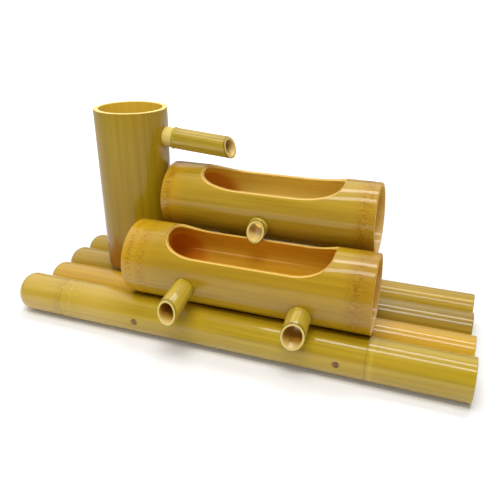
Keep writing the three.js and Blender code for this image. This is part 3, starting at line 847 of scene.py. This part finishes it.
def makeCup():
    height, wall, edge = cup["height"], cup["wall"], cup["edge"]
    slope = (cup["topRadius"] - cup["footRadius"]) / height
    floor = cup["recess"] + cup["septum"]
    seat = (cup["x"], cup["y"], cup["foot"])
    shares = (0.2, 0.4, 0.6, 0.8)

    def outer(at):
        return cup["footRadius"] + slope * at

    rings = recessedEnd(cup["recess"], outer(0) - wall)
    rings += roundCorner("nearInner", 0, outer(0) - wall, cup["footEdge"], steps=3)
    rings += roundCorner("nearOuter", 0, outer(0), edge, steps=4)
    rings += [(height * share, outer(height * share)) for share in shares]
    rings += roundCorner("farOuter", height, outer(height), edge, steps=4)
    rings += roundCorner("farInner", height, outer(height) - wall, cup["lipEdge"], steps=3)
    rings += [(height * share, outer(height * share) - wall) for share in reversed(shares)]
    rings += roundCorner("floor", floor, outer(floor) - wall, cup["floorRound"], steps=6)
    rings += [(floor, axisCircle)]
    piece = turnCane("cupTube", rings, cup["sides"])
    putAt(piece, upright, seat)
    spoutHole(spouts["cup"], piece)
    hoseRings = [(0, cup["hoseRadius"]), (cup["hoseReach"], cup["hoseRadius"])]
    hose = turnCane("hose", hoseRings, cup["hoseSides"])
    cutAway(piece, putAt(hose, (-90, 0, 0), (cup["x"], cup["y"], cup["foot"] + cup["hoseHeight"])))
    easeEdges(piece, cup["holeEdge"], cup["holeAngle"])
    smoothSkin(piece)
    look = {**cup, "name": "cupSkin", "radius": cup["footRadius"], "bore": cup["footRadius"] - wall,
            "taper": slope, "turn": upright, "place": seat}
    return finishPiece(piece, "cup", "cup", caneMaterial(look))


makeCup()
print("cup made")


# Studio, in metres: two long thin lamps above, whose reflections draw the lines along the canes, a key
# lamp at the front that no surface reflects, a pale floor, and a room with a soft window to the left
# and behind

studio = {"bars": {"barBehind": 0.42, "barFront": -0.32}, "barAlong": 0.12, "barHeight": 1.5, "barAim": 0.2,
          "barPower": 6.0, "barSize": (1.1, 0.26), "keyPlace": (0.14, -0.68, 1.4), "keyAim": (0, 0.02, 0.08),
          "keyPower": 9.4, "keySize": (0.7, 0.3), "room": 0.22, "softWindow": 0.82,
          "windowTo": (0.8, 0.6), "windowSide": (0.05, 0.35), "windowRise": (0.25, 0.5)}
floorLook = {"size": 60, "drop": 0.0005, "tone": (0.88, 0.88, 0.88, 1), "roughness": 0.8, "inGloss": 0.3,
             "nearLift": 0.1, "liftFrom": 0.3, "liftTo": 1.4}
white = (1, 1, 1, 1)


def lamp(name, place, aim, size, power):
    data = bpy.data.lights.new(name, "AREA")
    data.shape = "RECTANGLE"
    data.size, data.size_y = size
    data.energy = power
    light = bpy.data.objects.new(name, data)
    bpy.context.scene.collection.objects.link(light)
    light.location = place
    light.rotation_euler = (Vector(aim) - Vector(place)).to_track_quat("-Z", "Y").to_euler()
    return light


def makeFloor():
    # pale paper that takes shadows, lifted to white away from the object for whoever looks at it
    bpy.ops.object.select_all(action="DESELECT")
    bpy.ops.mesh.primitive_plane_add(size=floorLook["size"], location=(0, 0, -floorLook["drop"]))
    floor = bpy.context.object
    floor.name = "studioFloor"
    material = bpy.data.materials.new("studioPaper")
    material.use_nodes = True
    tree = material.node_tree
    shader = tree.nodes["Principled BSDF"]
    shader.inputs["Base Color"].default_value = floorLook["tone"]
    shader.inputs["Roughness"].default_value = floorLook["roughness"]
    shader.inputs["Specular IOR Level"].default_value = 0.0
    shader.inputs["Emission Color"].default_value = white
    rays = tree.nodes.new("ShaderNodeLightPath")
    reflected = times(tree, rays.outputs["Is Glossy Ray"], floorLook["inGloss"])
    seen = sums(tree, "MAXIMUM", rays.outputs["Is Camera Ray"], reflected)
    coordinates = tree.nodes.new("ShaderNodeTexCoord")
    away = tree.nodes.new("ShaderNodeVectorMath")
    away.operation = "LENGTH"
    tree.links.new(coordinates.outputs["Object"], away.inputs[0])
    lift = spread(tree, away.outputs["Value"], floorLook["liftFrom"], floorLook["liftTo"],
                  floorLook["nearLift"], 1.0)
    tree.links.new(times(tree, seen, lift), shader.inputs["Emission Strength"])
    floor.data.materials.append(material)
    return floor


def makeWorld():
    # white where it is looked at; the room and its window for light and reflections
    world = bpy.data.worlds.new("studio")
    bpy.context.scene.world = world
    world.use_nodes = True
    tree = world.node_tree
    background = tree.nodes["Background"]
    rays = tree.nodes.new("ShaderNodeLightPath")
    seen = sums(tree, "MAXIMUM", rays.outputs["Is Camera Ray"], rays.outputs["Is Transmission Ray"])
    coordinates = tree.nodes.new("ShaderNodeTexCoord")
    x, y, z = partsOf(tree, coordinates.outputs["Generated"])
    toLeft, toBack = studio["windowTo"]
    side = less(tree, times(tree, y, toBack), times(tree, x, toLeft))
    window = times(tree, spread(tree, side, *studio["windowSide"]), spread(tree, z, *studio["windowRise"]))
    room = sums(tree, "MULTIPLY_ADD", window, studio["softWindow"], studio["room"])
    background.inputs["Color"].default_value = white
    tree.links.new(sums(tree, "MAXIMUM", seen, room), background.inputs["Strength"])
    return world


makeFloor()
makeWorld()
for name, across in studio["bars"].items():
    lamp(name, (studio["barAlong"], across, studio["barHeight"]),
         (studio["barAlong"], across * studio["barAim"], 0), studio["barSize"], studio["barPower"])
key = lamp("key", studio["keyPlace"], studio["keyAim"], studio["keySize"], studio["keyPower"])
key.visible_glossy = False
print("studio lit")

cameraView = {"sensor": 36, "lens": 42.458, "place": (0.21952, -0.53272, 0.34936),
              "turn": (66.116, 0, 20.969)}
cameraData = bpy.data.cameras.new("camera")
cameraData.sensor_width = cameraView["sensor"]
cameraData.lens = cameraView["lens"]
camera = bpy.data.objects.new("camera", cameraData)
bpy.context.scene.collection.objects.link(camera)
camera.location = cameraView["place"]
camera.rotation_euler = eulerOf(cameraView["turn"])
bpy.context.scene.camera = camera
bpy.context.scene.view_settings.view_transform = "Standard"
